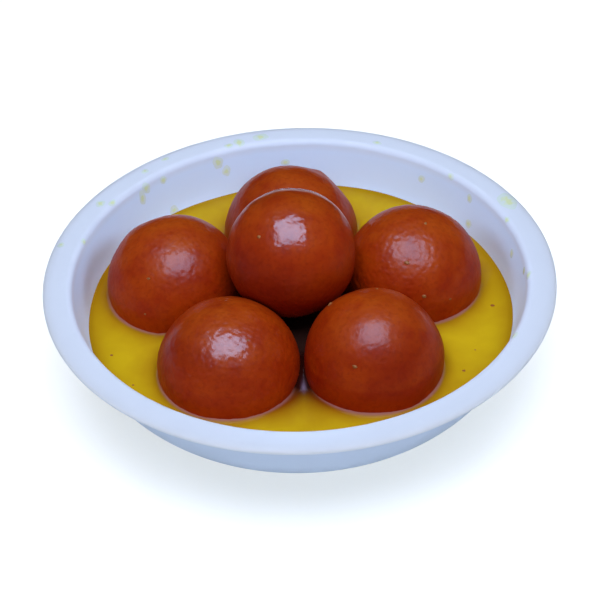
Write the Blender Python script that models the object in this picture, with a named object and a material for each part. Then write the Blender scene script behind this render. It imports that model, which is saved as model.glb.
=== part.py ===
"""Six gulab jamun in saffron syrup, served in a round white plastic bowl.

The bowl is a six-inch one with a broad rounded lip. Five fried milk-dough balls stand in a ring on its
floor, up to their middles in syrup, and a sixth rests on top of them. The balls are soft, so each is a
little uneven and is pressed flat where it meets a neighbour or the bowl.

The frame is +Z up, with the origin at the centre of the foot. Sizes are in millimetres, and MM turns
them into Blender's metres.
"""

import math

import bmesh
import bpy
from mathutils import Vector, noise

MM = 0.001

# The gap left between two pieces that touch on the real thing.
GAP = 0.3

# Bowl, from the table up.
BOWL_SEGMENTS = 48
FOOT_INNER_RADIUS = 36.0
FOOT_OUTER_RADIUS = 40.0
FOOT_HEIGHT = 1.2
FOOT_SLOPE = 0.8
WALL = 2.0
CORNER_CENTRE_RADIUS = 37.0
CORNER_RADIUS = 31.0
CORNER_CENTRE_HEIGHT = FOOT_HEIGHT + CORNER_RADIUS
FLARE = math.radians(14.5)
CORNER_STEPS = 7
FLOOR_HEIGHT = FOOT_HEIGHT + WALL
INNER_CORNER_RADIUS = CORNER_RADIUS - WALL

# The lip: a thin, broad, nearly level band with a rounded edge.
RIM_RADIUS = 76.0
RIM_WIDEST_HEIGHT = 34.3
RIM_TOP_HEIGHT = 35.3
RIM_UNDERSIDE_HEIGHT = 33.5
RIM_OUTER_ROUND = 3.2
RIM_LOWER_ROUND = 0.8
RIM_INNER_ROUND = 1.8
RIM_CROWN = 0.2
ROUND_STEPS = 3

# Syrup.
SYRUP_LEVEL = 20.4
SYRUP_CORNER_STEPS = 5

# Balls.
BALL_SEGMENTS = 24
BALL_RINGS = 14
LUMP_HEIGHT = 0.45
LUMPS_PER_RADIUS = 1.25
SAG = 0.5
TOP_BALL_HEIGHT = 42.2

# Name: (x, y, radius, stretch along x, stretch along y, stretch along z).
RING_BALLS = {
    "jamun_front_left": (-21.0, -26.9, 20.9, 1.00, 1.00, 0.96),
    "jamun_front_right": (20.9, -27.1, 20.3, 1.00, 1.00, 1.05),
    "jamun_left": (-37.6, 10.6, 20.9, 1.00, 1.00, 1.01),
    "jamun_right": (34.2, 11.4, 20.9, 1.00, 1.00, 1.03),
    "jamun_back": (-2.2, 35.9, 20.6, 1.01, 1.00, 1.00),
}
TOP_BALL = {"jamun_top": (-2.2, 1.0, 19.1, 1.00, 1.00, 1.00)}

WHITE_PLASTIC = ("white plastic", (0.63, 0.75, 0.95), 0.25)
SAFFRON_SYRUP = ("saffron syrup", (0.52, 0.33, 0.01), 0.08)
FRIED_MILK_DOUGH = ("fried milk dough", (0.28, 0.04, 0.006), 0.22)


def clear_scene():
    for old in list(bpy.data.objects):
        bpy.data.objects.remove(old)


def finish_of(kind):
    """The Principled material of this name, colour and roughness, made once."""
    name, colour, roughness = kind
    material = bpy.data.materials.get(name)
    if material is None:
        material = bpy.data.materials.new(name)
        material.use_nodes = True
        shader = material.node_tree.nodes["Principled BSDF"]
        shader.inputs["Base Color"].default_value = (*colour, 1.0)
        shader.inputs["Roughness"].default_value = roughness
        shader.inputs["Metallic"].default_value = 0.0
    return material


def add_piece(name, shape, kind):
    """Turns a bmesh in millimetres into a named object in metres with smooth faces."""
    bmesh.ops.scale(shape, vec=(MM, MM, MM), verts=shape.verts)
    bmesh.ops.recalc_face_normals(shape, faces=shape.faces)
    mesh = bpy.data.meshes.new(name)
    shape.to_mesh(mesh)
    shape.free()
    mesh.materials.append(finish_of(kind))
    mesh.shade_smooth()
    piece = bpy.data.objects.new(name, mesh)
    bpy.context.scene.collection.objects.link(piece)
    return piece


def arc(centre, radius, start, end, steps):
    """Points (r, z) along an arc, with angles measured up from the outward direction."""
    points = []
    for step in range(steps + 1):
        angle = start + (end - start) * step / steps
        points.append((centre[0] + radius * math.cos(angle), centre[1] + radius * math.sin(angle)))
    return points


def turned(outline, segments):
    """A bmesh of the closed outline of (r, z) points, spun once round the Z axis.

    The outline's own edge along the axis is left with no faces, and goes at the end.
    """
    shape = bmesh.new()
    ring = [shape.verts.new((r, 0.0, z)) for r, z in outline]
    edges = [shape.edges.new((a, b)) for a, b in zip(ring, ring[1:] + ring[:1])]
    bmesh.ops.spin(
        shape,
        geom=ring + edges,
        cent=(0, 0, 0),
        axis=(0, 0, 1),
        angle=math.tau,
        steps=segments,
        use_merge=True,
    )
    bmesh.ops.remove_doubles(shape, verts=shape.verts, dist=0.001)
    loose = [edge for edge in shape.edges if not edge.link_faces]
    bmesh.ops.delete(shape, geom=loose, context="EDGES")
    return shape


def wall_point(height, corner_radius):
    """The (r, z) point at this height on the straight flared wall that leaves a corner of this radius."""
    corner_centre = (CORNER_CENTRE_RADIUS, CORNER_CENTRE_HEIGHT)
    tangent_r, tangent_z = arc(corner_centre, corner_radius, -FLARE, -FLARE, 1)[0]
    return (tangent_r + (height - tangent_z) * math.tan(FLARE), height)


def bowl_outline():
    """The bowl's closed section: up the outside, over the lip and down the inside."""
    corner_centre = (CORNER_CENTRE_RADIUS, CORNER_CENTRE_HEIGHT)
    foot_angle = math.acos((FOOT_OUTER_RADIUS + FOOT_SLOPE - CORNER_CENTRE_RADIUS) / CORNER_RADIUS)
    underside = [
        (0.0, FOOT_HEIGHT),
        (FOOT_INNER_RADIUS - FOOT_SLOPE, FOOT_HEIGHT),
        (FOOT_INNER_RADIUS, 0.0),
        (FOOT_OUTER_RADIUS, 0.0),
    ]
    outside = arc(corner_centre, CORNER_RADIUS, -foot_angle, -FLARE, CORNER_STEPS)
    under_lip = wall_point(RIM_UNDERSIDE_HEIGHT, CORNER_RADIUS)
    lower_round = arc(
        (RIM_RADIUS - RIM_LOWER_ROUND, RIM_UNDERSIDE_HEIGHT + RIM_LOWER_ROUND),
        RIM_LOWER_ROUND,
        math.radians(-90),
        0.0,
        ROUND_STEPS,
    )
    squash = (RIM_TOP_HEIGHT - RIM_WIDEST_HEIGHT) / RIM_OUTER_ROUND
    outer_round = [
        (r, RIM_WIDEST_HEIGHT + z * squash)
        for r, z in arc(
            (RIM_RADIUS - RIM_OUTER_ROUND, 0.0),
            RIM_OUTER_ROUND,
            0.0,
            math.radians(90),
            ROUND_STEPS,
        )
    ]
    inner_start = wall_point(RIM_TOP_HEIGHT - RIM_INNER_ROUND, INNER_CORNER_RADIUS)
    inner_round = arc(
        (inner_start[0] + RIM_INNER_ROUND, inner_start[1]),
        RIM_INNER_ROUND,
        math.radians(90),
        math.radians(180) - FLARE,
        ROUND_STEPS,
    )
    crown = [((outer_round[-1][0] + inner_round[0][0]) / 2, RIM_TOP_HEIGHT + RIM_CROWN)]
    inside = arc(corner_centre, INNER_CORNER_RADIUS, -FLARE, math.radians(-90), CORNER_STEPS)
    floor = [(0.0, FLOOR_HEIGHT)]
    below = underside + outside + [under_lip]
    lip = lower_round + outer_round + crown + inner_round
    return below + lip + inside + floor


def make_bowl():
    return add_piece("bowl", turned(bowl_outline(), BOWL_SEGMENTS), WHITE_PLASTIC)


def resting_height(x, y, radius, stretch_up):
    """How high a ball's centre stands, on the flat floor or against the bowl's round corner."""
    out = math.hypot(x, y) - CORNER_CENTRE_RADIUS
    on_floor = FLOOR_HEIGHT + radius * stretch_up
    if out <= 0:
        return on_floor
    slack = INNER_CORNER_RADIUS - radius
    return max(on_floor, CORNER_CENTRE_HEIGHT - math.sqrt(slack * slack - out * out))


def ball_centres():
    """Each ball's centre and radius, by name."""
    centres = {}
    for name, (x, y, radius, *_, stretch_up) in RING_BALLS.items():
        height = resting_height(x, y, radius, stretch_up) - SAG
        centres[name] = (Vector((x, y, height)), radius)
    for name, (x, y, radius, *_) in TOP_BALL.items():
        centres[name] = (Vector((x, y, TOP_BALL_HEIGHT)), radius)
    return centres


def lump(direction, seed):
    """How far the hand-rolled skin stands out of a true ball in this direction, in millimetres."""
    return LUMP_HEIGHT * noise.noise(direction * LUMPS_PER_RADIUS + Vector((seed, 0, 0)))


def press_on_neighbour(point, centre, radius, other_centre, other_radius, room):
    """Moves a point back to the flat where two soft balls meet."""
    between = other_centre - centre
    distance = between.length
    overlap = radius + other_radius + room - distance
    if overlap <= 0:
        return point
    axis = between / distance
    flat = radius - overlap * radius / (radius + other_radius)
    beyond = (point - centre).dot(axis) - flat
    return point - axis * max(0.0, beyond)


def press_on_bowl(point, room):
    """Moves a point back inside the bowl's floor and round corner."""
    point.z = max(point.z, FLOOR_HEIGHT + room)
    out = math.hypot(point.x, point.y)
    from_corner = Vector((out - CORNER_CENTRE_RADIUS, point.z - CORNER_CENTRE_HEIGHT))
    limit = INNER_CORNER_RADIUS - room
    if from_corner.x > 0 and from_corner.y < 0 and from_corner.length > limit:
        from_corner *= limit / from_corner.length
        shrink = (CORNER_CENTRE_RADIUS + from_corner.x) / out
        point = Vector((point.x * shrink, point.y * shrink, CORNER_CENTRE_HEIGHT + from_corner.y))
    return point


def ball_shape(name, sizes, centres, grown=0.0):
    """One soft ball as a bmesh, made bigger all over by grown when it is to cut the syrup."""
    centre, radius = centres[name]
    stretch = Vector(sizes[3:6])
    seed = list(centres).index(name) * 10.0
    shape = bmesh.new()
    bmesh.ops.create_uvsphere(shape, u_segments=BALL_SEGMENTS, v_segments=BALL_RINGS, radius=1.0)
    for vert in shape.verts:
        direction = vert.co.normalized()
        reach = (radius + lump(direction, seed)) * direction * stretch
        point = centre + reach
        for other, (other_centre, other_radius) in centres.items():
            if other != name:
                point = press_on_neighbour(point, centre, radius, other_centre, other_radius, GAP)
        point = press_on_bowl(point, GAP)
        vert.co = point + (point - centre).normalized() * grown
    return shape


def make_balls(centres):
    for name, sizes in {**RING_BALLS, **TOP_BALL}.items():
        add_piece(name, ball_shape(name, sizes, centres), FRIED_MILK_DOUGH)


def syrup_outline():
    """The syrup's section: the bowl's inside less the gap, up to the level."""
    corner_centre = (CORNER_CENTRE_RADIUS, CORNER_CENTRE_HEIGHT)
    radius = INNER_CORNER_RADIUS - GAP
    shore = -math.asin((CORNER_CENTRE_HEIGHT - SYRUP_LEVEL) / radius)
    corner = arc(corner_centre, radius, math.radians(-90), shore, SYRUP_CORNER_STEPS)
    return [(0.0, FLOOR_HEIGHT + GAP)] + corner + [(0.0, SYRUP_LEVEL)]


def make_syrup(centres):
    """A puddle that fills the bowl to its level, with a hollow cut for each ball that stands in it."""
    syrup = add_piece("syrup", turned(syrup_outline(), BOWL_SEGMENTS), SAFFRON_SYRUP)
    for name, sizes in RING_BALLS.items():
        cutter = add_piece(f"hollow_{name}", ball_shape(name, sizes, centres, grown=GAP), SAFFRON_SYRUP)
        cutter.hide_render = True
        cutter.display_type = "WIRE"
        cut = syrup.modifiers.new(f"hollow for {name}", "BOOLEAN")
        cut.operation = "DIFFERENCE"
        cut.object = cutter


def main():
    clear_scene()
    centres = ball_centres()
    make_bowl()
    make_balls(centres)
    make_syrup(centres)


main()
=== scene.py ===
# %% [markdown]
# # Gulab jamun in saffron syrup
#
# Six fried balls of milk dough sit in a white plastic bowl, five in a ring up to their middles in yellow
# sugar syrup and one on top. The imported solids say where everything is. This lesson builds the finished
# surfaces round them: a turned bowl, soft balls with a pebbly wet crust, a pool of syrup that climbs
# what it touches, and the small splashes, crumbs and specks that a served bowl has.

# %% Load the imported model
import math

import bmesh
import bpy
import numpy as np
from mathutils import Matrix, Vector, geometry, noise


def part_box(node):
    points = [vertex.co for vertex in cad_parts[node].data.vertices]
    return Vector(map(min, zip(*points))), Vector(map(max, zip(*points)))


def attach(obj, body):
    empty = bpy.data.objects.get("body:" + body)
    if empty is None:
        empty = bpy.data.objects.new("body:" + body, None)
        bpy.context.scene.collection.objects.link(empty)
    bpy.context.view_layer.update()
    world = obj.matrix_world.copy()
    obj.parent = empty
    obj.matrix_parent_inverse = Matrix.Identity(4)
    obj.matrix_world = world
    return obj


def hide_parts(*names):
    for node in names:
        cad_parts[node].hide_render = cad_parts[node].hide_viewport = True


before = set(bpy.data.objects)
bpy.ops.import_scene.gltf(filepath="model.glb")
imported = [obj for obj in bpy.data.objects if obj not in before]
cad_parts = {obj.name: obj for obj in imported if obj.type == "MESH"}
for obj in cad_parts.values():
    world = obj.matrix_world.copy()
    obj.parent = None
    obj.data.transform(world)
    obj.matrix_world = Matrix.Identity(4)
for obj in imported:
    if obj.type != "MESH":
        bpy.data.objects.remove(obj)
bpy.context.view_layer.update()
MM = 0.001
print("solids:", ", ".join(sorted(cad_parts)))

# %% [markdown]
# ## Sizes
#
# The frame is in metres. A cook or a moulder thinks in millimetres, so every shape below is worked out in
# millimetres and turned into metres once, when its mesh is made. The bowl's width, its height and the level
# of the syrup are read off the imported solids.

# %% Read the main sizes
BOWL_LOW, BOWL_HIGH = (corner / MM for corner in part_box("bowl"))
SYRUP_LOW, SYRUP_HIGH = (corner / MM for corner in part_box("syrup"))
RIM_RADIUS = BOWL_HIGH.x
BOWL_HEIGHT = BOWL_HIGH.z
SYRUP_LEVEL = SYRUP_HIGH.z
print(f"bowl {2 * RIM_RADIUS:.1f} mm across and {BOWL_HEIGHT:.1f} mm high, syrup up to {SYRUP_LEVEL:.1f} mm")

# %% [markdown]
# ## Colour and nodes
#
# Colours are written as the sRGB hex values that a paint chart or a screen shows. Blender's shaders work in
# linear light, so one function turns them. One more function adds a node, sets it and links it, because a
# material is then a short list that reads from the texture to the shader.


# %% Helpers for colours and materials
def linear(hex_colour):
    """The linear RGBA colour of an sRGB hex value such as #B69912."""
    channels = [int(hex_colour[i : i + 2], 16) / 255 for i in (1, 3, 5)]
    turned = [c / 12.92 if c <= 0.04045 else ((c + 0.055) / 1.055) ** 2.4 for c in channels]
    return (*turned, 1.0)


def add(tree, kind, sockets=None, **settings):
    """Adds a node with its settings. A socket takes a value, or another node's output to link."""
    node = tree.nodes.new("ShaderNode" + kind)
    for name, value in settings.items():
        setattr(node, name, value)
    for name, value in (sockets or {}).items():
        if isinstance(value, bpy.types.NodeSocket):
            tree.links.new(value, node.inputs[name])
        else:
            node.inputs[name].default_value = value
    return node


def new_material(name):
    """An empty material with its output, ready for a shader."""
    material = bpy.data.materials.new(name)
    material.use_nodes = True
    tree = material.node_tree
    tree.nodes.clear()
    output = tree.nodes.new("ShaderNodeOutputMaterial")
    return material, tree, output


# %% Helper for colour ramps
def ramp(tree, factor, *stops):
    """A colour ramp through (place, hex colour) stops."""
    node = add(tree, "ValToRGB", {"Fac": factor})
    elements = node.color_ramp.elements
    while len(elements) < len(stops):
        elements.new(0.5)
    for element, (place, colour) in zip(elements, stops):
        element.position = place
        element.color = linear(colour)
    return node.outputs["Color"]


def per_metre(size_mm):
    """A texture's scale when one of its cells is this many millimetres."""
    return 1000.0 / size_mm


# %% [markdown]
# ## Camera and light
#
# The bowl is seen from in front and about forty degrees up, the way a diner looks at a dessert, with a long
# lens from 0.6 m and a slight roll. One rectangular softbox hangs almost overhead and a little towards the viewer.
# It is small enough to leave a clear gleam on each wet ball, and a bluer one just in front of it adds only to
# that gleam. A pale sky fills the shadows but isn't mirrored. The thin bright line along the far edge of the
# wettest ball is a painted highlight on its crust.

# %% Camera
CAMERA_DISTANCE = 0.6
CAMERA_ELEVATION = math.radians(39.7)
CAMERA_ROLL = math.radians(-1.7)
TARGET = Vector((0.0, 0.0, 0.0248))


def from_bearing(bearing, elevation, distance):
    """A point seen from the target at this bearing (0 is the viewer's side, 90 the right) and elevation."""
    out = math.cos(elevation) * distance
    side = Vector((math.sin(bearing), -math.cos(bearing), 0.0)) * out
    return TARGET + side + Vector((0, 0, math.sin(elevation) * distance))


def aimed(place, roll=0.0):
    """The matrix of a camera or lamp at this place that faces the target."""
    turn = (TARGET - place).to_track_quat("-Z", "Y").to_matrix().to_4x4()
    return Matrix.Translation(place) @ turn @ Matrix.Rotation(roll, 4, "Z")


camera = bpy.data.objects.new("camera", bpy.data.cameras.new("camera"))
camera.data.lens = 120.0
camera.data.sensor_width = 36.0
camera.matrix_world = aimed(from_bearing(0.0, CAMERA_ELEVATION, CAMERA_DISTANCE), CAMERA_ROLL)
bpy.context.scene.collection.objects.link(camera)
bpy.context.scene.camera = camera
bpy.context.scene.view_settings.view_transform = "Standard"
print("camera at", [round(value, 3) for value in camera.matrix_world.translation])


# %% Lamps
def softbox(name, bearing, elevation, distance, width, height, watts, colour):
    """An area lamp that faces the bowl."""
    lamp = bpy.data.lights.new(name, "AREA")
    lamp.shape = "ELLIPSE" if width == height else "RECTANGLE"
    lamp.size = width
    lamp.size_y = height
    lamp.energy = watts
    lamp.color = linear(colour)[:3]
    holder = bpy.data.objects.new(name, lamp)
    holder.matrix_world = aimed(from_bearing(math.radians(bearing), math.radians(elevation), distance))
    holder.visible_camera = False
    bpy.context.scene.collection.objects.link(holder)
    return holder


def lights_only(lamp, objects, shadowless=False):
    """Makes a lamp light these objects and nothing else, with no other object's shadow if so wished."""
    lit = bpy.data.collections.new(lamp.name + "_lit")
    for obj in objects:
        lit.objects.link(obj)
    lamp.light_linking.receiver_collection = lit
    if shadowless:
        lamp.light_linking.blocker_collection = lit


softbox("key_softbox", 0, 77, 1.0, 0.86, 0.68, 10.0, "#D0DFFF")
gleam = softbox("gleam_softbox", 0, 77, 0.96, 0.82, 0.65, 4.4, "#20B8FF")
gleam.visible_diffuse = False

# %% Sky and floor
world = bpy.data.worlds.new("pale studio")
world.use_nodes = True
world.node_tree.nodes["Background"].inputs["Color"].default_value = linear("#F0F4FF")
world.node_tree.nodes["Background"].inputs["Strength"].default_value = 0.16
world.cycles_visibility.glossy = False
bpy.context.scene.world = world

FLOOR_SIDE = 6.0
floor_material, tree, output = new_material("white lacquered board")
grain = add(tree, "TexNoise", {"Scale": per_metre(40.0), "Detail": 2.0})
shade = ramp(tree, grain.outputs["Fac"], (0.3, "#FBF7EA"), (0.7, "#FDFAEE"))
board = add(tree, "BsdfPrincipled", {"Base Color": shade, "Roughness": 0.7, "Specular IOR Level": 0.2})
tree.links.new(board.outputs["BSDF"], output.inputs["Surface"])
bpy.ops.mesh.primitive_plane_add(size=FLOOR_SIDE, location=(0, 0, 0))
floor = bpy.context.object
floor.name = "floor"
floor.data.materials.append(floor_material)
floor.visible_glossy = False
floor_wash = softbox("floor_wash", 0, 90, 2.0, 3.0, 3.0, 40.0, "#F0F4FF")
lights_only(floor_wash, [floor], shadowless=True)

# %% [markdown]
# ## Pieces
#
# Every finished piece is a mesh in millimetres that becomes an object in metres. It moves with the one body
# of this model, called root, takes its material and hides the imported solids that it stands for.


# %% Helper that makes a piece
def make_piece(name, points, faces, material, stands_for=()):
    """A smooth mesh object from points in millimetres."""
    mesh = bpy.data.meshes.new(name)
    mesh.from_pydata([tuple(p) for p in np.asarray(points, float) * MM], [], faces)
    mesh.validate()
    mesh.shade_smooth()
    mesh.materials.append(material)
    made = bpy.data.objects.new(name, mesh)
    bpy.context.scene.collection.objects.link(made)
    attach(made, "root")
    if stands_for:
        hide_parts(*stands_for)
    print(f"{name}: {len(mesh.vertices)} points, {len(mesh.polygons)} faces")
    return made


def store(mesh, name, values):
    """Keeps one number per point on the mesh for its material."""
    attribute = mesh.attributes.new(name, "FLOAT", "POINT")
    attribute.data.foreach_set("value", np.asarray(values, np.float32))


def turn_outline(outline, segments):
    """Points and faces of a closed (r, z) outline turned round the Z axis. Its ends lie on the axis."""
    angles = np.linspace(0, math.tau, segments, endpoint=False)
    inner = outline[1:-1]
    points = [(0.0, 0.0, outline[0][1]), (0.0, 0.0, outline[-1][1])]
    for r, z in inner:
        points += [(r * math.cos(a), r * math.sin(a), z) for a in angles]
    faces = []
    last = 2 + (len(inner) - 1) * segments
    for i in range(segments):
        j = (i + 1) % segments
        faces.append((0, 2 + j, 2 + i))
        faces.append((1, last + i, last + j))
        for k in range(len(inner) - 1):
            low = 2 + k * segments
            high = low + segments
            faces.append((low + i, low + j, high + j, high + i))
    return points, faces


# %% [markdown]
# ## The bowl
#
# The bowl is moulded in one piece: a ring foot, a round lower corner, a straight flared wall and a broad lip
# that turns down at its outer edge. A mould is turned on a lathe, so the mesh is too: one section, drawn
# with arcs, spun round the axis. A modifier could spin it, but the same section also carries the splashes
# later, so it is kept as a list of points.

# %% The bowl's section
WALL = 2.0
FOOT_HEIGHT = 1.2
FOOT_INNER_RADIUS = 36.0
FOOT_OUTER_RADIUS = 40.0
FLOOR_HEIGHT = FOOT_HEIGHT + WALL
CORNER_AT = (37.0, 32.2)
CORNER_OUTSIDE = 31.0
CORNER_INSIDE = CORNER_OUTSIDE - WALL
FLARE = math.radians(14.5)
RIM_CROWN = 0.2
RIM_TOP = BOWL_HEIGHT - RIM_CROWN
RIM_WIDEST = RIM_TOP - 1.0
RIM_UNDERSIDE = RIM_TOP - 1.8
RIM_OUTER_ROUND = 3.2
RIM_LOWER_ROUND = 0.8
RIM_INNER_ROUND = 2.2


def arc(centre, radii, start, end, steps):
    """Points along an arc of an ellipse, with angles measured in degrees up from the outward direction."""
    angles = np.radians(np.linspace(start, end, steps + 1))
    return [(centre[0] + radii[0] * math.cos(a), centre[1] + radii[1] * math.sin(a)) for a in angles]


def on_wall(height, corner_radius):
    """The (r, z) point of the straight flared wall at this height."""
    r = CORNER_AT[0] + corner_radius * math.cos(FLARE)
    z = CORNER_AT[1] - corner_radius * math.sin(FLARE)
    return (r + (height - z) * math.tan(FLARE), height)


def stretch(start, end, steps):
    """Points evenly along a straight line, without its ends."""
    shares = [step / steps for step in range(1, steps)]
    return [(start[0] + s * (end[0] - start[0]), start[1] + s * (end[1] - start[1])) for s in shares]


# %% Inside and outside of the section
inner_lip = on_wall(RIM_TOP - RIM_INNER_ROUND, CORNER_INSIDE)
lip_side = (RIM_RADIUS - RIM_OUTER_ROUND, RIM_WIDEST)
lip_top = arc(lip_side, (RIM_OUTER_ROUND, BOWL_HEIGHT - RIM_WIDEST), 0, 90, 14)
lip_bend = (inner_lip[0] + RIM_INNER_ROUND, inner_lip[1])
lip_inner = arc(lip_bend, (RIM_INNER_ROUND, BOWL_HEIGHT - inner_lip[1]), 90, 180 - math.degrees(FLARE), 12)
corner_in = arc(CORNER_AT, (CORNER_INSIDE, CORNER_INSIDE), -math.degrees(FLARE), -90, 40)
wall_in = stretch(lip_inner[-1], corner_in[0], 14)
bottom_in = stretch(corner_in[-1], (0.0, FLOOR_HEIGHT), 12)
inside = lip_inner + wall_in + corner_in + bottom_in + [(0.0, FLOOR_HEIGHT)]

foot_angle = math.degrees(math.acos((FOOT_OUTER_RADIUS + 0.8 - CORNER_AT[0]) / CORNER_OUTSIDE))
foot = [(FOOT_INNER_RADIUS - 0.8, FOOT_HEIGHT), (FOOT_INNER_RADIUS - 0.2, 0.25), (FOOT_INNER_RADIUS + 0.3, 0.0)]
foot += [(FOOT_OUTER_RADIUS - 0.3, 0.0), (FOOT_OUTER_RADIUS + 0.1, 0.25)]
corner_out = arc(CORNER_AT, (CORNER_OUTSIDE, CORNER_OUTSIDE), -foot_angle, -math.degrees(FLARE), 40)
under_lip = on_wall(RIM_UNDERSIDE, CORNER_OUTSIDE)
wall_out = stretch(corner_out[-1], under_lip, 8)
lip_under = arc((RIM_RADIUS - RIM_LOWER_ROUND, RIM_WIDEST), (RIM_LOWER_ROUND, RIM_WIDEST - RIM_UNDERSIDE), -90, 0, 6)
under = [(0.0, FOOT_HEIGHT)] + stretch((0.0, FOOT_HEIGHT), foot[0], 10)
outside = under + foot + corner_out + wall_out + [under_lip] + lip_under[:-1] + lip_top
print(f"section: {len(inside)} points inside, {len(outside)} outside")

# %% [markdown]
# The real bowl is white polypropylene, injection moulded. The plastic is a slightly bluish white with a soft
# gloss (IOR about 1.49). Light goes a little way into it, which keeps its shadows pale. Here the inside is given
# a brighter, bluer white than the lip as painted light, and the outside a darker blue-grey as painted shade.
# A steel mould leaves a faint waviness of a few millimetres and a finer grain, so the gleam on the lip isn't a
# perfect line.

# %% Moulded white polypropylene
LIP_WHITE = "#EEEEEC"
# Painted light and shade: the lip has the plastic's own white, the inside a brighter bluer one, the outside a darker
# blue-grey.
INSIDE_PAINTED_LIGHT_WHITE = "#EEF8FF"
OUTSIDE_PAINTED_SHADE_WHITE = "#C1D1E9"


def moulded_plastic():
    material, tree, output = new_material("white polypropylene, injection moulded")
    place = add(tree, "TexCoord").outputs["Object"]
    cloud = add(tree, "TexNoise", {"Vector": place, "Scale": per_metre(18.0), "Detail": 3.0})
    inside = add(tree, "Attribute", attribute_name="inside").outputs["Fac"]
    outside = add(tree, "Attribute", attribute_name="outside").outputs["Fac"]
    # Painted light inside and painted shade outside, blended from the lip's white.
    inner = add(tree, "Mix", {"Factor": inside, 6: linear(LIP_WHITE), 7: linear(INSIDE_PAINTED_LIGHT_WHITE)}, data_type="RGBA")
    whole = add(tree, "Mix", {"Factor": outside, 6: inner.outputs[2], 7: linear(OUTSIDE_PAINTED_SHADE_WHITE)}, data_type="RGBA")
    faint = add(tree, "MapRange", {"Value": cloud.outputs["Fac"], "To Min": 0.96, "To Max": 1.0})
    colour = add(tree, "HueSaturation", {"Color": whole.outputs[2], "Value": faint.outputs["Result"]}).outputs["Color"]
    gloss = add(tree, "MapRange", {"Value": cloud.outputs["Fac"], "To Min": 0.3, "To Max": 0.42})
    waves = add(tree, "TexNoise", {"Vector": place, "Scale": per_metre(5.0), "Detail": 1.0})
    grain = add(tree, "TexNoise", {"Vector": place, "Scale": per_metre(0.8), "Detail": 2.0})
    wavy = add(tree, "Bump", {"Height": waves.outputs["Fac"], "Strength": 0.25, "Distance": 0.0002})
    grainy = add(
        tree,
        "Bump",
        {"Height": grain.outputs["Fac"], "Strength": 0.2, "Distance": 0.00004, "Normal": wavy.outputs["Normal"]},
    )
    shader = add(
        tree,
        "BsdfPrincipled",
        {
            "Base Color": colour,
            "Roughness": gloss.outputs["Result"],
            "IOR": 1.49,
            "Specular IOR Level": 0.2,
            "Normal": grainy.outputs["Normal"],
        },
    )
    tree.links.new(shader.outputs["BSDF"], output.inputs["Surface"])
    return material


# %% Turn the bowl
BOWL_SEGMENTS = 256
plastic = moulded_plastic()
bowl_outline = outside + inside
bowl_points, bowl_faces = turn_outline(bowl_outline, BOWL_SEGMENTS)
bowl = make_piece("bowl_shell", bowl_points, bowl_faces, plastic, ["bowl"])
bowl_fill = softbox("bowl_fill", 0, 90, 0.055, 0.03, 0.03, 0.037, "#AACCFF")
lights_only(bowl_fill, [bowl])
bowl_r = np.hypot(*np.array(bowl_points)[:, :2].T)
bowl_z = np.array(bowl_points)[:, 2]
depth_below_lip = BOWL_HEIGHT - bowl_z
middle = CORNER_AT[0] + (CORNER_INSIDE + WALL / 2) * math.cos(FLARE)
middle += (bowl_z - CORNER_AT[1] + CORNER_INSIDE * math.sin(FLARE)) * math.tan(FLARE)
from_corner = np.hypot(bowl_r - CORNER_AT[0], bowl_z - CORNER_AT[1]) - CORNER_INSIDE - WALL / 2
is_outer = (bowl_r > middle) | ((bowl_z < CORNER_AT[1] - 8) & (bowl_r > CORNER_AT[0]) & (from_corner > 0))
is_outer |= bowl_z < FLOOR_HEIGHT - 0.5
# How much of the painted-light inside white and the painted-shade outside white each point takes.
store(bowl.data, "inside", np.where(is_outer, 0, np.clip((depth_below_lip - 0.6) / 3.0, 0, 1)))
store(bowl.data, "outside", np.where(is_outer, np.clip((depth_below_lip - 0.8) / 1.4, 0, 1), 0))

# %% [markdown]
# ## The balls
#
# A gulab jamun is milk-powder dough rolled between the palms, fried slowly until brown and then soaked in
# hot syrup, which swells it soft. So it is nearly round, a little lumpy, fine-pebbled where the fat
# blistered the skin, and flat where it leans on a neighbour. A sculpted or simulated ball would do, but the
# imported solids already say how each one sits. They carry the same slow lumps as below, so a ball that is a
# little wider than high is fitted to each by least squares, and the dense mesh takes its place and size.

# %% Slow lumps from rolling
LUMP_HEIGHT = 0.45
LUMPS_PER_RADIUS = 1.25

# The place of each ball's lumps in the noise.
LUMP_SEEDS = {
    "jamun_front_left": 0,
    "jamun_front_right": 10,
    "jamun_left": 20,
    "jamun_right": 30,
    "jamun_back": 40,
    "jamun_top": 50,
}


def lumps(directions, seed):
    """How far the hand-rolled skin stands out of an even ball in each direction, in millimetres."""
    shift = Vector((seed, 0, 0))
    return LUMP_HEIGHT * np.array([noise.noise(Vector(d) * LUMPS_PER_RADIUS + shift) for d in directions])


# %% Read each ball off its solid
def fitted_ball(node):
    """Centre and three half widths, in millimetres, of the ball that best fits a solid without its flats."""
    points = np.array([v.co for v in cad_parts[node].data.vertices], float) / MM
    centre = points.mean(axis=0)
    halves = (points.max(axis=0) - points.min(axis=0)) / 2
    for _ in range(14):
        even = (points - centre) / halves
        reach = np.linalg.norm(even, axis=1)
        directions = even / reach[:, None]
        lumpy = lumps(directions, LUMP_SEEDS[node])
        short = halves[0] * (1 - reach) + lumpy
        kept = np.sort(short)[int(0.72 * len(short))]
        round_part = short < max(kept, 0.12)
        smooth = (points - directions * lumpy[:, None])[round_part]
        found = np.linalg.lstsq(np.column_stack([smooth**2, smooth]), np.ones(len(smooth)), rcond=None)[0]
        centre = -found[3:] / (2 * found[:3])
        halves = np.sqrt((1 + (found[:3] * centre**2).sum()) / found[:3])
    return centre, halves


BALLS = {name: fitted_ball(name) for name in LUMP_SEEDS}
for name, (centre, halves) in BALLS.items():
    print(name, centre.round(1), halves.round(1))

# %% [markdown]
# Over the slow lumps come three finer layers: dents and creases at chosen places, pebbles of about a
# millimetre and a half, and the flats. A ball pressed on its neighbour flattens over a small disc whose
# edge is soft, so the step from round to flat is blended over a few tenths of a millimetre.

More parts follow.
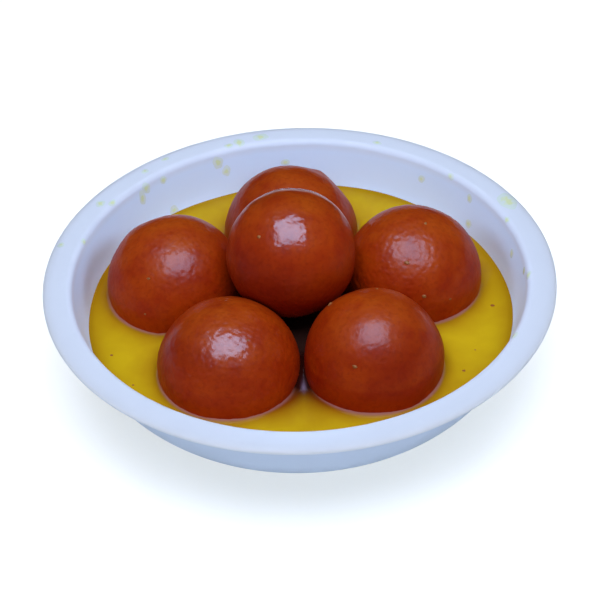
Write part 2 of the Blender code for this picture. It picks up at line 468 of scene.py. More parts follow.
# %% What each ball's skin is like
# Height in millimetres of the knobs and of the pebbles.
SKINS = {
    "jamun_front_left": {"knobs": 0.10, "pebbles": 0.090, "soaked": 0.4, "seed": 1},
    "jamun_front_right": {"knobs": 0.08, "pebbles": 0.045, "soaked": 1.0, "seed": 2},
    "jamun_left": {"knobs": 0.10, "pebbles": 0.070, "soaked": 0.3, "seed": 3},
    "jamun_right": {"knobs": 0.12, "pebbles": 0.095, "soaked": 0.3, "seed": 4},
    "jamun_back": {"knobs": 0.12, "pebbles": 0.060, "soaked": 0.3, "seed": 5},
    "jamun_top": {"knobs": 0.18, "pebbles": 0.036, "soaked": 0.0, "seed": 6},
}
KNOB_SIZE = 7.0
PEBBLE_SIZE = 1.4
CONTACT_GAP = 0.3
CONTACT_SOFTNESS = 0.35

# Dents and bumps: ball, bearing and elevation in degrees, width and height in millimetres.
FEATURES = [
    ("jamun_back", 141, 43, 3.6, 0.5),
    ("jamun_back", 117, 30, 7.0, -0.45),
    ("jamun_left", -110, 30, 7.0, -0.45),
    ("jamun_left", -150, 48, 7.0, -0.35),
    ("jamun_top", -16, 68, 0.9, 0.14),
    ("jamun_top", -30, 60, 0.8, 0.12),
    ("jamun_top", 25, 55, 0.9, 0.14),
    ("jamun_top", 4, 66, 2.4, -0.12),
    ("jamun_top", 10, 20, 6.0, -0.15),
]


# Darker patches, most of them low down or facing a neighbouring ball, where they are painted shade: ball,
# bearing and elevation in degrees, width in millimetres and strength.
PATCHES = [
    ("jamun_top", -40, 15, 17.0, 1.0),
    ("jamun_top", 0, -12, 15.0, 0.8),
    ("jamun_front_right", -70, 25, 14.0, 0.7),
    ("jamun_front_right", 10, 22, 12.0, 0.5),
    ("jamun_front_left", -45, 44, 11.0, 0.6),
    ("jamun_front_left", 0, 28, 12.0, 0.3),
    ("jamun_front_right", 30, 42, 12.0, 0.6),
    ("jamun_front_left", -75, 25, 12.0, 0.5),
    ("jamun_left", 70, 35, 14.0, 0.5),
    ("jamun_back", -70, 45, 14.0, 0.7),
]


def direction_of(bearing, elevation):
    """The unit vector at this bearing (0 is the viewer's side, 90 the right) and elevation, in degrees."""
    b, e = math.radians(bearing), math.radians(elevation)
    return np.array([math.sin(b) * math.cos(e), -math.cos(b) * math.cos(e), math.sin(e)])


# %% Layers of the skin
def field(points, size, seed, octaves=1):
    """Smooth noise of about this size, in millimetres, at each point, from -1 to 1."""
    shift = Vector((seed * 7.3, seed * 3.1, seed * 1.7))
    if octaves == 1:
        return np.array([noise.noise(Vector(p / size) + shift) for p in points])
    return np.array([noise.fractal(Vector(p / size) + shift, 1.0, 2.0, octaves) for p in points])


def feature_height(features, name, directions, radius):
    """The dents and bumps, or the darker patches, of one ball, each a smooth round hill."""
    height = np.zeros(len(directions))
    for ball, bearing, elevation, width, tall in features:
        if ball == name:
            away = radius * np.arccos(np.clip(directions @ direction_of(bearing, elevation), -1, 1))
            height += tall * np.exp(-((away / width) ** 2) * 2)
    return height


# The bead of syrup on the top ball: a great circle that leans towards the viewer's side, and its ends. Its
# pale colour is a painted highlight.
BEAD_LEAN = 23.0
BEAD_WIDTH = 1.0
BEAD_HEIGHT = 0.12
BEAD_ENDS = (-80.0, 74.0)


def bead_share(name, directions, radius):
    """How much of the syrup bead, and of its painted highlight, lies at each direction, from 0 to 1."""
    if name != "jamun_top":
        return np.zeros(len(directions))
    lean = math.radians(BEAD_LEAN)
    away = radius * np.arcsin(np.clip(directions @ np.array([0, -math.cos(lean), math.sin(lean)]), -1, 1))
    upper = directions @ np.array([0, math.sin(lean), math.cos(lean)])
    around = np.degrees(np.arctan2(directions[:, 0], upper))
    fade = np.clip((around - BEAD_ENDS[0]) / 35, 0, 1) * np.clip((BEAD_ENDS[1] - around) / 30, 0, 1)
    uneven = 0.8 + 0.3 * field(directions * radius, 3.0, 91)
    return np.exp(-((away / (BEAD_WIDTH * uneven)) ** 2)) * fade * np.clip(uneven, 0, 1)


def skin_points(name, directions, grown=0.0, fine=True):
    """The crust's points in these directions, before it is pressed, made bigger all over by grown."""
    centre, halves = BALLS[name]
    skin = SKINS[name]
    radius = halves[0]
    height = lumps(directions, LUMP_SEEDS[name]) + grown
    height += skin["knobs"] * field(directions * radius, KNOB_SIZE, skin["seed"] + 20)
    height += feature_height(FEATURES, name, directions, radius)
    height += BEAD_HEIGHT * bead_share(name, directions, radius)
    if fine:
        height += skin["pebbles"] * field(directions * radius, PEBBLE_SIZE, skin["seed"] + 40, octaves=2)
    return centre + directions * halves * (1 + height / radius)[:, None]


# %% Press the balls on what they touch
def pressed_on_balls(points, name):
    """Points moved back to the soft flats where this ball meets its neighbours."""
    centre, halves = BALLS[name]
    for other, (other_centre, other_halves) in BALLS.items():
        if other == name:
            continue
        distance = np.linalg.norm(other_centre - centre)
        axis = (other_centre - centre) / distance
        overlap = halves[0] + other_halves[0] + CONTACT_GAP - distance
        if overlap < -2.0:
            continue
        flat = halves[0] * (1 - overlap / (halves[0] + other_halves[0]))
        beyond = ((points - centre) @ axis - flat) / CONTACT_SOFTNESS
        back = CONTACT_SOFTNESS * np.logaddexp(0, np.clip(beyond, -40, 40))
        points = points - back[:, None] * axis
    return points


def pressed_on_bowl(points):
    """Points moved back inside the bowl's floor and round corner."""
    points = points.copy()
    points[:, 2] = np.maximum(points[:, 2], FLOOR_HEIGHT + CONTACT_GAP)
    out = np.hypot(points[:, 0], points[:, 1])
    across, up = out - CORNER_AT[0], points[:, 2] - CORNER_AT[1]
    reach = np.hypot(across, up)
    limit = CORNER_INSIDE - CONTACT_GAP
    held = (across > 0) & (up < 0) & (reach > limit)
    shrink = limit / reach[held]
    points[held, :2] *= ((CORNER_AT[0] + across[held] * shrink) / out[held])[:, None]
    points[held, 2] = CORNER_AT[1] + up[held] * shrink
    return points


# %% Build a ball
def ball_mesh(name, subdivisions, grown=0.0, fine=True):
    """Points and faces of one ball."""
    shape = bmesh.new()
    bmesh.ops.create_icosphere(shape, subdivisions=subdivisions, radius=1.0)
    directions = np.array([v.co for v in shape.verts], float)
    directions /= np.linalg.norm(directions, axis=1)[:, None]
    faces = [tuple(v.index for v in f.verts) for f in shape.faces]
    shape.free()
    points = skin_points(name, directions, grown, fine)
    return pressed_on_bowl(pressed_on_balls(points, name)), faces


# %% [markdown]
# The crust is browned milk sugar and protein under a film of syrup. The browning is a deep orange-brown,
# mottled over a few millimetres where the frying fat was hotter, with darker pits. Towards the bottom each ball
# is painted darker and redder as shade, a few darker patches are painted, most of them low down or facing a
# neighbour as shade, and the pale line along the top ball's bead is a painted highlight. Under it is a rough
# solid, and over it a thin clear coat of syrup (IOR about 1.4), so the gleam is the coat's. The wettest ball,
# on top, has a smooth thick film. The others drain, and their pebbles break the gleam.

# %% Fried crust, steeped in syrup
CRUST_LIGHT = "#C55008"
CRUST_MID = "#BD4605"
CRUST_DEEP = "#B13804"
CRUST_PIT = "#902802"
PAINTED_SHADE_BELOW = "#F6D2AC"
SOAKED = "#EECAB0"
PATCH_TINT = "#DCB8A4"
BEAD_PAINTED_HIGHLIGHT = "#F0C8B8"
PIT_SHARE = 0.25
MOTTLE_SIZE = 7.0
PIT_SIZE = 1.3
GRAIN_SIZE = 0.7


def fried_crust(name, film, film_roughness, pebble_bump):
    material, tree, output = new_material(name)
    place = add(tree, "TexCoord").outputs["Object"]
    mottle = add(tree, "TexNoise", {"Vector": place, "Scale": per_metre(MOTTLE_SIZE), "Detail": 5.0})
    browned = ramp(
        tree, mottle.outputs["Fac"], (0.32, CRUST_DEEP), (0.48, CRUST_MID), (0.66, CRUST_LIGHT)
    )
    pits = add(tree, "TexNoise", {"Vector": place, "Scale": per_metre(PIT_SIZE), "Detail": 3.0})
    pitted = add(tree, "MapRange", {"Value": pits.outputs["Fac"], "From Min": 0.5, "From Max": 0.36, "To Max": PIT_SHARE})
    colour = add(tree, "Mix", {"Factor": pitted.outputs["Result"], 6: browned, 7: linear(CRUST_PIT)}, data_type="RGBA")
    upright = add(tree, "Attribute", attribute_name="upright").outputs["Fac"]
    # Painted shade: darker and redder towards the bottom of each ball.
    below = add(tree, "MapRange", {"Value": upright, "From Min": 0.95, "From Max": 0.55})
    redder = add(
        tree,
        "Mix",
        {"Factor": below.outputs["Result"], 6: colour.outputs[2], 7: linear(PAINTED_SHADE_BELOW)},
        data_type="RGBA",
        blend_type="MULTIPLY",
    )
    soaked = add(tree, "Attribute", attribute_name="soaked").outputs["Fac"]
    bead = add(tree, "Attribute", attribute_name="bead").outputs["Fac"]
    crust = add(
        tree,
        "Mix",
        {"Factor": soaked, 6: redder.outputs[2], 7: linear(SOAKED)},
        data_type="RGBA",
        blend_type="MULTIPLY",
    )
    # Darker patches, painted shade where they lie low or face a neighbouring ball.
    patch = add(tree, "Attribute", attribute_name="patch").outputs["Fac"]
    patched = add(
        tree,
        "Mix",
        {"Factor": patch, 6: crust.outputs[2], 7: linear(PATCH_TINT)},
        data_type="RGBA",
        blend_type="MULTIPLY",
    )
    # Painted highlight along the top ball's bead.
    beaded = add(tree, "Mix", {"Factor": bead, 6: patched.outputs[2], 7: linear(BEAD_PAINTED_HIGHLIGHT)}, data_type="RGBA")
    pebbles = add(
        tree, "TexVoronoi", {"Vector": place, "Scale": per_metre(PEBBLE_SIZE), "Smoothness": 0.8}, feature="SMOOTH_F1"
    )
    grain = add(tree, "TexNoise", {"Vector": place, "Scale": per_metre(GRAIN_SIZE), "Detail": 2.0})
    pebbled = add(
        tree, "Bump", {"Height": pebbles.outputs["Distance"], "Strength": pebble_bump, "Distance": 0.0002}
    )
    grained = add(
        tree,
        "Bump",
        {
            "Height": grain.outputs["Fac"],
            "Strength": pebble_bump,
            "Distance": 0.0001,
            "Normal": pebbled.outputs["Normal"],
        },
    )
    rough = add(tree, "MapRange", {"Value": mottle.outputs["Fac"], "To Min": 0.48, "To Max": 0.4})
    wet = add(tree, "MapRange", {"Value": upright, "From Min": 0.42, "From Max": 0.8, "To Max": film})
    shader = add(
        tree,
        "BsdfPrincipled",
        {
            "Base Color": beaded.outputs[2],
            "Roughness": rough.outputs["Result"],
            "Specular IOR Level": 0.12,
            "Coat Weight": wet.outputs["Result"],
            "Coat Roughness": film_roughness,
            "Coat IOR": 1.55,
            "Normal": grained.outputs["Normal"],
            "Coat Normal": grained.outputs["Normal"],
        },
    )
    tree.links.new(shader.outputs["BSDF"], output.inputs["Surface"])
    return material


# %% Make the six balls
BALL_SUBDIVISIONS = 7
TIDE_HEIGHT = 28.6
wet_crust = fried_crust("fried milk dough under a thick syrup film", 1.0, 0.16, 0.35)
glazed_crust = fried_crust("fried milk dough, glazed with syrup", 0.95, 0.22, 0.3)
drained_crust = fried_crust("fried milk dough under a thin syrup film", 0.46, 0.25, 0.3)
CRUSTS = {"jamun_top": wet_crust, "jamun_front_left": glazed_crust}
crusts = []
for name, (centre, halves) in BALLS.items():
    points, faces = ball_mesh(name, BALL_SUBDIVISIONS)
    crust = CRUSTS.get(name, drained_crust)
    ball = make_piece(name.replace("jamun", "crust"), points, faces, crust, [name])
    store(ball.data, "upright", (points[:, 2] - centre[2]) / halves[2])
    out = (points - centre) / halves
    out /= np.linalg.norm(out, axis=1)[:, None]
    # Where the painted highlight of the bead goes.
    store(ball.data, "bead", 0.8 * bead_share(name, out, halves[0]))
    # Darker patches, painted shade where they lie low or face a neighbouring ball.
    store(ball.data, "patch", np.clip(feature_height(PATCHES, name, out, halves[0]), 0, 1))
    tide = TIDE_HEIGHT + 0.6 * field(points, 9.0, SKINS[name]["seed"] + 60) - points[:, 2]
    store(ball.data, "soaked", SKINS[name]["soaked"] * np.clip(0.5 + tide / 1.2, 0, 1))
    crusts.append(ball)
lights_only(gleam, crusts)

# %% [markdown]
# ## The syrup
#
# Boiled sugar syrup wets everything it touches. Its surface is level in the open and climbs about a
# millimetre up the wall and the balls, and higher where two balls nearly meet, because a narrow gap draws it
# up. That curved edge catches the light, and on the viewer's side a fine pale line is also painted along it as
# a highlight. The surface is a sheet of triangles through points set close together near each ball. It is made
# into a block, cut to the bowl's inside, and then each ball is cut out of it, so that it reaches just into the
# wall and the crusts with no gap.

# %% Height of the surface
WALL_CLIMB = 0.5
WALL_REACH = 1.0
BALL_CLIMB = 1.25
BALL_REACH = 0.8
NOTCH_CLIMB = 6.2
NOTCH_WIDTH = 2.4


def wall_radius(z):
    """The bowl's inner radius at this height below the straight wall."""
    return CORNER_AT[0] + math.sqrt(CORNER_INSIDE**2 - (CORNER_AT[1] - z) ** 2)


SHORE_RADIUS = wall_radius(SYRUP_LEVEL)
WET_BALLS = {name: ball for name, ball in BALLS.items() if name != "jamun_top"}


def waterline_radius(centre, halves):
    """The radius of a ball's cut through the syrup's level."""
    return halves[0] * math.sqrt(1 - ((centre[2] - SYRUP_LEVEL) / halves[2]) ** 2)


def ball_gaps(x, y):
    """For each standing ball, how far outside its waterline each place is, in millimetres."""
    gaps = []
    for centre, halves in WET_BALLS.values():
        waterline = waterline_radius(centre, halves)
        gaps.append(np.hypot(x - centre[0], y - centre[1]) - waterline)
    return np.array(gaps)


def surface_height(x, y):
    """The syrup's height at each place."""
    bearing = np.arctan2(y, x)
    uneven = 1 + 0.25 * np.sin(5 * bearing + 1) + 0.2 * np.sin(11 * bearing + 2)
    shore = np.minimum(np.hypot(x, y) - SHORE_RADIUS, 0)
    climb = WALL_CLIMB * uneven * np.exp(shore / WALL_REACH)
    gaps = np.sort(np.maximum(ball_gaps(x, y), 0), axis=0)
    climb += BALL_CLIMB * np.exp(-gaps[0] / BALL_REACH)
    narrow = 1 - np.sqrt(gaps[0] + gaps[1]) / NOTCH_WIDTH
    climb += NOTCH_CLIMB * 0.08 * np.logaddexp(0, narrow / 0.08)
    return SYRUP_LEVEL + climb


# %% Points of the sheet
SHEET_RADIUS = SHORE_RADIUS + 3.0
RING_OFFSETS = (-1.5, -0.5, 0.0, 0.2, 0.4, 0.65, 0.95, 1.3, 1.7, 2.2, 2.9, 3.8)
OPEN_STEP = 1.1


def sheet_points():
    """Places for the sheet's points: rings round the balls and along the wall, and an open grid between."""
    places = []
    for centre, halves in WET_BALLS.values():
        waterline = waterline_radius(centre, halves)
        for index, offset in enumerate(RING_OFFSETS):
            angles = np.linspace(0, math.tau, 260, endpoint=False) + index * 0.5 * math.tau / 260
            reach = waterline + offset
            places.append(np.column_stack([centre[0] + reach * np.cos(angles), centre[1] + reach * np.sin(angles)]))
    for index, offset in enumerate((3.0, 1.2, 0.4, 0.0, -0.3, -0.65, -1.1, -1.6, -2.2, -3.0, -4.0)):
        angles = np.linspace(0, math.tau, 420, endpoint=False) + index * 0.5 * math.tau / 420
        reach = SHORE_RADIUS + offset
        places.append(np.column_stack([reach * np.cos(angles), reach * np.sin(angles)]))
    steps = np.arange(-SHORE_RADIUS, SHORE_RADIUS, OPEN_STEP)
    x, y = (grid.ravel() for grid in np.meshgrid(steps, steps))
    open_water = (ball_gaps(x, y).min(axis=0) > 4.3) & (np.hypot(x, y) < SHORE_RADIUS - 4.5)
    places.append(np.column_stack([x, y])[open_water])
    every = np.concatenate(places)
    return every[np.hypot(every[:, 0], every[:, 1]) < SHEET_RADIUS + 0.001]


# %% Sheet into block
def syrup_block():
    """A closed block whose top is the syrup's surface, wider than the bowl's inside."""
    places = [Vector(place) for place in sheet_points()]
    flat_points, _, triangles, *_ = geometry.delaunay_2d_cdt(places, [], [], 0, 0.02)
    flat = np.array(flat_points, float)
    top = np.column_stack([flat, surface_height(flat[:, 0], flat[:, 1])])
    shape = bmesh.new()
    verts = [shape.verts.new(Vector(point) * MM) for point in top]
    for triangle in triangles:
        shape.faces.new([verts[i] for i in triangle])
    made = bmesh.ops.extrude_face_region(shape, geom=shape.faces[:])
    for item in made["geom"]:
        if isinstance(item, bmesh.types.BMVert):
            item.co.z = -0.005
    bmesh.ops.recalc_face_normals(shape, faces=shape.faces)
    return shape


# %% Cutting tools
def plain_object(name, points=None, faces=None, shape=None):
    """A mesh object that is only used to cut another, and is removed afterwards."""
    mesh = bpy.data.meshes.new(name)
    if shape is None:
        mesh.from_pydata([tuple(p) for p in np.asarray(points, float) * MM], [], faces)
    else:
        shape.to_mesh(mesh)
        shape.free()
    made = bpy.data.objects.new(name, mesh)
    bpy.context.scene.collection.objects.link(made)
    return made


def cut(target, tool, operation):
    """Applies one Boolean to the target and removes the tool."""
    modifier = target.modifiers.new(tool.name, "BOOLEAN")
    modifier.operation = operation
    modifier.solver = "MANIFOLD"
    modifier.object = tool
    graph = bpy.context.evaluated_depsgraph_get()
    result = bpy.data.meshes.new_from_object(target.evaluated_get(graph))
    target.modifiers.clear()
    target.data = result
    bpy.data.objects.remove(tool)


# %% Cut the pool
WALL_BITE = 0.4
CRUST_BITE = 0.25


def pool_mould():
    """The space inside the bowl, grown a little into the wall."""
    radius = CORNER_INSIDE + WALL_BITE
    side = arc(CORNER_AT, (radius, radius), -90, -math.degrees(FLARE), 40)
    top = on_wall(RIM_TOP - 3.0, radius)
    outline = [(0.0, side[0][1])] + side + [top, (0.0, top[1])]
    return turn_outline(outline, BOWL_SEGMENTS)


pool = plain_object("pool", shape=syrup_block())
cut(pool, plain_object("mould", *pool_mould()), "INTERSECT")
for name in WET_BALLS:
    cut(pool, plain_object("tool_" + name, *ball_mesh(name, 6, -CRUST_BITE, fine=False)), "DIFFERENCE")
pool_points = np.array([v.co for v in pool.data.vertices], float) / MM
pool_faces = [tuple(f.vertices) for f in pool.data.polygons]
bpy.data.objects.remove(pool)

# %% [markdown]
# Saffron and cardamom syrup is a clear strong yellow. Where it is deep over the white floor it glows yellow.
# Close to a ball the brown crust shows through from under the surface, and at the shore, where the layer is
# thin over the sloping wall, it is coloured a darker ochre. Real transparency would need many light paths, so
# the depth is worked out from the shape instead: each point of the mesh stores how near it is to a ball and
# to the shore, and the colour follows. The brown near each ball also stands in for the ball's shadow and
# reflection, so it is partly painted shade and painted reflection. More stored values paint shade in the
# narrow gaps between the balls, inside their ring and under the top ball, a highlight along each waterline on
# the viewer's side, and a glint between the two front balls.

# %% Saffron syrup
SYRUP_YELLOW = "#F2CA1C"
SYRUP_DULL = "#E2B41A"
SYRUP_OCHRE = "#B4840E"
# Brown near the balls: the crust seen through, partly painted shadow and reflection of the balls.
SYRUP_BROWN = "#984806"
# Painted shade between and under the balls, a painted highlight at the waterline and a painted glint.
SYRUP_PAINTED_SHADE = "#34100A"
SYRUP_SHADE_UNDER_TOP_BALL = "#42261E"
SYRUP_EDGE_HIGHLIGHT = "#BC7870"
SYRUP_GLINT = "#84667A"
SHORE_BAND = 5.5
BALL_BAND = 3.8
EDGE_HIGHLIGHT_BAND = 0.45
RING_INSIDE = (26.0, 31.0)


def saffron_syrup():
    material, tree, output = new_material("saffron sugar syrup, boiled")
    place = add(tree, "TexCoord").outputs["Object"]
    shore = add(tree, "Attribute", attribute_name="shore").outputs["Fac"]
    ball = add(tree, "Attribute", attribute_name="ball").outputs["Fac"]
    swirl = add(tree, "TexNoise", {"Vector": place, "Scale": per_metre(12.0), "Detail": 3.0, "Distortion": 0.2})
    open_colour = ramp(tree, swirl.outputs["Fac"], (0.3, SYRUP_DULL), (0.6, SYRUP_YELLOW))
    shallow = add(tree, "Mix", {"Factor": shore, 6: open_colour, 7: linear(SYRUP_OCHRE)}, data_type="RGBA")
    # Brown near the balls: the crust seen through, partly painted shadow and reflection of the balls.
    brown = add(tree, "Mix", {"Factor": ball, 6: shallow.outputs[2], 7: linear(SYRUP_BROWN)}, data_type="RGBA")
    shade_between_balls = add(tree, "Attribute", attribute_name="shade_between_balls").outputs["Fac"]
    # Painted shade in the narrow gaps between the balls and inside their ring.
    dark = add(tree, "Mix", {"Factor": shade_between_balls, 6: brown.outputs[2], 7: linear(SYRUP_PAINTED_SHADE)}, data_type="RGBA")
    under = add(tree, "Attribute", attribute_name="under").outputs["Fac"]
    # Painted shade under the top ball.
    shaded = add(tree, "Mix", {"Factor": under, 6: dark.outputs[2], 7: linear(SYRUP_SHADE_UNDER_TOP_BALL)}, data_type="RGBA")
    edge = add(tree, "Attribute", attribute_name="edge").outputs["Fac"]
    # Painted highlight along the waterline on the viewer's side.
    pale = add(tree, "Mix", {"Factor": edge, 6: shaded.outputs[2], 7: linear(SYRUP_EDGE_HIGHLIGHT)}, data_type="RGBA")
    glint = add(tree, "Attribute", attribute_name="glint").outputs["Fac"]
    # Painted glint between the two front balls.
    colour = add(tree, "Mix", {"Factor": glint, 6: pale.outputs[2], 7: linear(SYRUP_GLINT)}, data_type="RGBA")
    ripple = add(tree, "TexNoise", {"Vector": place, "Scale": per_metre(6.0), "Detail": 1.0})
    still = add(tree, "Bump", {"Height": ripple.outputs["Fac"], "Strength": 0.2, "Distance": 0.0002})
    shader = add(
        tree,
        "BsdfPrincipled",
        {
            "Base Color": colour.outputs[2],
            "Roughness": 0.05,
            "IOR": 1.45,
            "Specular IOR Level": 0.08,
            "Normal": still.outputs["Normal"],
        },
    )
    tree.links.new(shader.outputs["BSDF"], output.inputs["Surface"])
    return material


# %% Make the pool
pool = make_piece("syrup_pool", pool_points, pool_faces, saffron_syrup(), ["syrup"])
reach = np.hypot(pool_points[:, 0], pool_points[:, 1])
gaps = np.sort(np.maximum(ball_gaps(pool_points[:, 0], pool_points[:, 1]), 0), axis=0)
near_ball = gaps[0]
gap_sum = gaps[0] + gaps[1]
# Painted shade: the syrup in front, between the two front balls, is taken towards the brown.
front_pool = np.exp(-((np.maximum(gap_sum - 4, 0) / 18) ** 2) - (pool_points[:, 0] / 14) ** 2)
front_pool *= pool_points[:, 1] < -25
store(pool.data, "shore", 0.95 * np.exp(-np.maximum(SHORE_RADIUS - reach, 0) / SHORE_BAND))
# Brown near each ball, the crust seen through with painted shadow and reflection, and painted shade in front between
# the front balls.
store(pool.data, "ball", 0.82 * np.exp(-near_ball / BALL_BAND) + 0.45 * front_pool)
between_front = (reach < 45) & (pool_points[:, 1] < -25)
nearest = np.argmin(ball_gaps(pool_points[:, 0], pool_points[:, 1]), axis=0)
middles = np.array([centre for centre, halves in WET_BALLS.values()])[nearest]
outward = pool_points[:, :2] - middles[:, :2]
outward /= np.maximum(np.linalg.norm(outward, axis=1), 1e-6)[:, None]
# Painted shade in the narrow gaps between balls, reaching further out between the front two.
shade_between_balls = np.exp(-np.maximum(gap_sum - np.where(between_front, 4.6, 0.6), 0) / np.where(between_front, 3.0, 3.0))
middle = np.exp(-((np.abs(gaps[0] - gaps[1]) / 1.1) ** 2))
# Painted glint in the gap between the two front balls.
store(pool.data, "glint", 0.8 * np.exp(-(((gap_sum - 4.4) / 1.1) ** 2)) * between_front * middle)
# Painted shade inside the ring of balls.
ring_inside = np.clip((RING_INSIDE[1] - reach) / (RING_INSIDE[1] - RING_INSIDE[0]), 0, 1)
store(pool.data, "shade_between_balls", np.maximum(shade_between_balls, ring_inside))
# Painted shade under the top ball.
store(pool.data, "under", np.clip((24 - reach) / 5, 0, 1))
# Painted highlight along each ball's waterline, on the viewer's side only.
viewer_side = np.clip(0.35 - outward[:, 1], 0, 1)
store(pool.data, "edge", 0.85 * np.clip(1.6 - near_ball / EDGE_HIGHLIGHT_BAND, 0, 1) * (1 - shade_between_balls) * viewer_side)
pool.data.set_sharp_from_angle(angle=math.radians(40))

# %% [markdown]
# ## Splashes on the bowl
#
# Ladling the syrup leaves drops on the lip and the inside wall. A drop is a thin lens of clear yellow, pale
# where it thins out to nothing at its edge. Each one is a small closed mesh laid over the bowl's own
# section, so it follows the bend of the lip, and one number per point carries its thickness to the colour.

# %% Where the splashes are
# Bearing in degrees, then in millimetres the way over the surface from the lip's outer edge, the width
# round the bowl and the length down it.
SPLASHES = [
    (-171, 5.4, 3.0, 2.0),
    (-177, 15.6, 1.7, 1.2),
    (-165, 6.5, 2.0, 2.4),
    (-162, 7.1, 1.8, 1.3),
    (-158, 12.0, 2.1, 2.4),
    (-160, 15.5, 1.7, 2.2),
    (-145, 3.7, 1.6, 1.0),
    (-141, 11.0, 1.5, 1.6),
    (-142, 22.4, 1.8, 2.0),
    (-138, 4.8, 1.5, 1.2),
    (-135, 10.6, 1.9, 2.2),
    (-133, 12.8, 1.5, 3.0),
    (-123, 8.0, 1.8, 1.2),
    (-121, 5.0, 2.0, 1.7),
    (-106, 8.8, 1.4, 1.1),
    (-103, 2.6, 1.5, 1.3),
    (158, 6.2, 1.8, 1.1),
    (143, 14.4, 1.4, 1.5),
    (134, 9.2, 1.5, 1.2),
    (126, 12.3, 1.4, 1.6),
    (124, 20.3, 1.6, 1.6),
    (116, 3.9, 5.0, 3.6),
    (110, 8.6, 1.5, 1.1),
    (102, 14.7, 1.4, 1.6),
    (91, 11.2, 1.4, 1.4),
    (87, 9.0, 1.9, 1.3),
    (63, 8.4, 1.8, 1.2),
    (-10, 9.0, 1.6, 1.0),
]
SPLASH_HEIGHT = 0.1
SPLASH_DEPTH = 0.15
lip_and_wall = np.array(lip_top + lip_inner + wall_in + corner_in)
steps_along = np.hypot(*np.diff(lip_and_wall, axis=0).T)
way_along = np.concatenate([[0.0], np.cumsum(steps_along)])


def on_bowl(bearing, way, height):
    """A point this high over the bowl's surface, at a bearing in radians and a way over the surface."""
    r, z = (np.interp(way, way_along, lip_and_wall[:, k]) for k in (0, 1))
    next_r, next_z = (np.interp(way + 0.1, way_along, lip_and_wall[:, k]) for k in (0, 1))
    slope = math.hypot(next_r - r, next_z - z)
    r += height * (next_z - z) / slope
    z -= height * (next_r - r) / slope
    return (r * math.sin(bearing), -r * math.cos(bearing), z)


# %% Build the splashes
def splash(bearing, way, width, length, first):
    """Points, faces and edge shares of one drop, whose points are numbered from first."""
    rings, steps = 6, 32
    middle = math.radians(bearing)
    radius = np.interp(way, way_along, lip_and_wall[:, 0])
    points = [on_bowl(middle, way, SPLASH_HEIGHT)]
    shares = [0.0]
    for ring in range(1, rings + 1):
        share = ring / rings
        height = SPLASH_HEIGHT * (1 - share**2) - 0.03 * share
        for angle in np.linspace(0, math.tau, steps, endpoint=False):
            wobble = share * (1 + 0.3 * noise.noise(Vector((math.cos(angle), math.sin(angle), bearing))))
            across = width / 2 * wobble * math.cos(angle) / radius
            points.append(on_bowl(middle + across, way + length / 2 * wobble * math.sin(angle), height))
            shares.append(share)
    points.append(on_bowl(middle, way, -SPLASH_DEPTH))
    shares.append(1.0)
    last = len(points) - 1
    faces = []
    for i in range(steps):
        j = (i + 1) % steps
        faces.append((0, 1 + j, 1 + i))
        faces.append((last, last - steps + i, last - steps + j))
        for ring in range(rings - 1):
            a, b = 1 + ring * steps, 1 + (ring + 1) * steps
            faces.append((a + i, a + j, b + j, b + i))
    return points, [tuple(first + v for v in face) for face in faces], shares


SPLASH_MIDDLE = "#E9EDAE"
SPLASH_RIM = "#E8EEDC"


def splash_film():
    material, tree, output = new_material("saffron syrup, thin drops")
    place = add(tree, "TexCoord").outputs["Object"]
    cloud = add(tree, "TexNoise", {"Vector": place, "Scale": per_metre(1.5), "Detail": 2.0})
    share = add(tree, "Attribute", attribute_name="edge_share").outputs["Fac"]
    thin = add(tree, "Math", {0: share, 1: cloud.outputs["Fac"]}, operation="ADD")
    colour = ramp(tree, thin.outputs["Value"], (0.75, SPLASH_MIDDLE), (1.0, SPLASH_RIM))
    values = {"Base Color": colour, "Roughness": 0.25, "IOR": 1.45, "Specular IOR Level": 0.2}
    shader = add(tree, "BsdfPrincipled", values)
    tree.links.new(shader.outputs["BSDF"], output.inputs["Surface"])
    return material


splash_points, splash_faces, splash_shares = [], [], []
for bearing, way, width, length in SPLASHES:
    points, faces, shares = splash(bearing, way, 2.0 * width, 2.0 * length, len(splash_points))
    splash_points += points
    splash_faces += faces
    splash_shares += shares
splashes = make_piece("syrup_splashes", splash_points, splash_faces, splash_film())
store(splashes.data, "edge_share", splash_shares)
bowl_fill.light_linking.receiver_collection.objects.link(splashes)

# %% [markdown]
# ## Crumbs and specks
#
# Bits of browned crust come off in the frying pan. Light ones stick to the wet balls, and dark ones float at
# the syrup's surface. Each is a small lump, rougher than it is round, half sunk in what holds it.

# %% Where the crumbs and the specks are
# Ball, bearing and elevation in degrees, width in millimetres.
CRUMBS = [
    ("jamun_top", -43, 46, 1.0),
    ("jamun_right", 60, 78, 0.9),
    ("jamun_right", -10, 47, 1.3),
    ("jamun_right", 7, 20, 1.2),
    ("jamun_right", 30, 12, 0.7),
    ("jamun_left", -26, 41, 0.9),
    ("jamun_left", -24, 11, 0.6),
    ("jamun_front_right", -21, 33, 1.2),
    ("jamun_front_right", -122, 45, 1.4),
    ("jamun_front_right", 172, 62, 0.8),
    ("jamun_front_left", 35, 60, 0.6),
    ("jamun_back", -20, 60, 0.7),
]
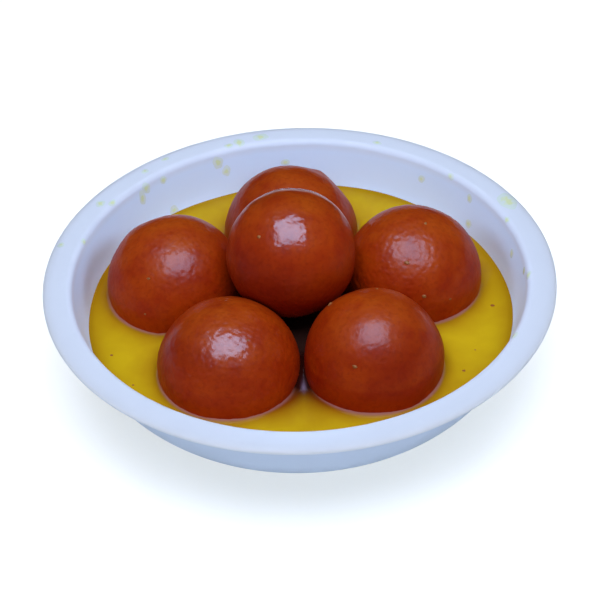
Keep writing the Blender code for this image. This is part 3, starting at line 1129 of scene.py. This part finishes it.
# Place, and width in millimetres.
SPECKS = [(58.0, 0.0, 1.1), (46.9, -29.0, 0.9), (-56.0, -17.6, 0.9), (-49.0, -31.0, 0.6), (51.0, -20.0, 0.5)]


# %% Build them
def lump_of(middle, outward, width, seed, flat):
    """Points and faces of one rough bit, flattened along the outward direction."""
    shape = bmesh.new()
    bmesh.ops.create_icosphere(shape, subdivisions=3, radius=width / 2)
    turn = Vector(outward).to_track_quat("Z", "Y").to_matrix()
    points = []
    for vert in shape.verts:
        rough = 1 + 0.45 * noise.noise(vert.co * (2.6 / width) + Vector((seed, 0, 0)))
        reach = Vector((vert.co.x * 1.15, vert.co.y * 0.85, vert.co.z * flat)) * rough
        points.append(Vector(middle) + turn @ reach)
    faces = [[v.index for v in face.verts] for face in shape.faces]
    shape.free()
    return points, faces


def scatter(name, bits, material):
    """One piece made of many bits."""
    points, faces = [], []
    for bit in bits:
        more_points, more_faces = lump_of(*bit)
        faces += [tuple(v + len(points) for v in face) for face in more_faces]
        points += more_points
    return make_piece(name, points, faces, material)


def browned_bits(name, light, dark):
    material, tree, output = new_material(name)
    place = add(tree, "TexCoord").outputs["Object"]
    browned = add(tree, "TexNoise", {"Vector": place, "Scale": per_metre(0.8), "Detail": 2.0})
    colour = ramp(tree, browned.outputs["Fac"], (0.35, dark), (0.65, light))
    values = {"Base Color": colour, "Roughness": 0.4, "Specular IOR Level": 0.3}
    shader = add(tree, "BsdfPrincipled", values)
    tree.links.new(shader.outputs["BSDF"], output.inputs["Surface"])
    return material


crumbs = []
for index, (name, bearing, elevation, width) in enumerate(CRUMBS):
    outward = direction_of(bearing, elevation)
    crumbs.append((skin_points(name, outward[None])[0], outward, width, index, 0.5))
specks = [((x, y, SYRUP_LEVEL), (0, 0, 1), width, 20 + i, 0.4) for i, (x, y, width) in enumerate(SPECKS)]
scatter("crust_crumbs", crumbs, browned_bits("golden crumb of fried dough", "#BC7C44", "#98501E"))
scatter("syrup_specks", specks, browned_bits("dark crumb of fried dough", "#C07028", "#A04E18"))
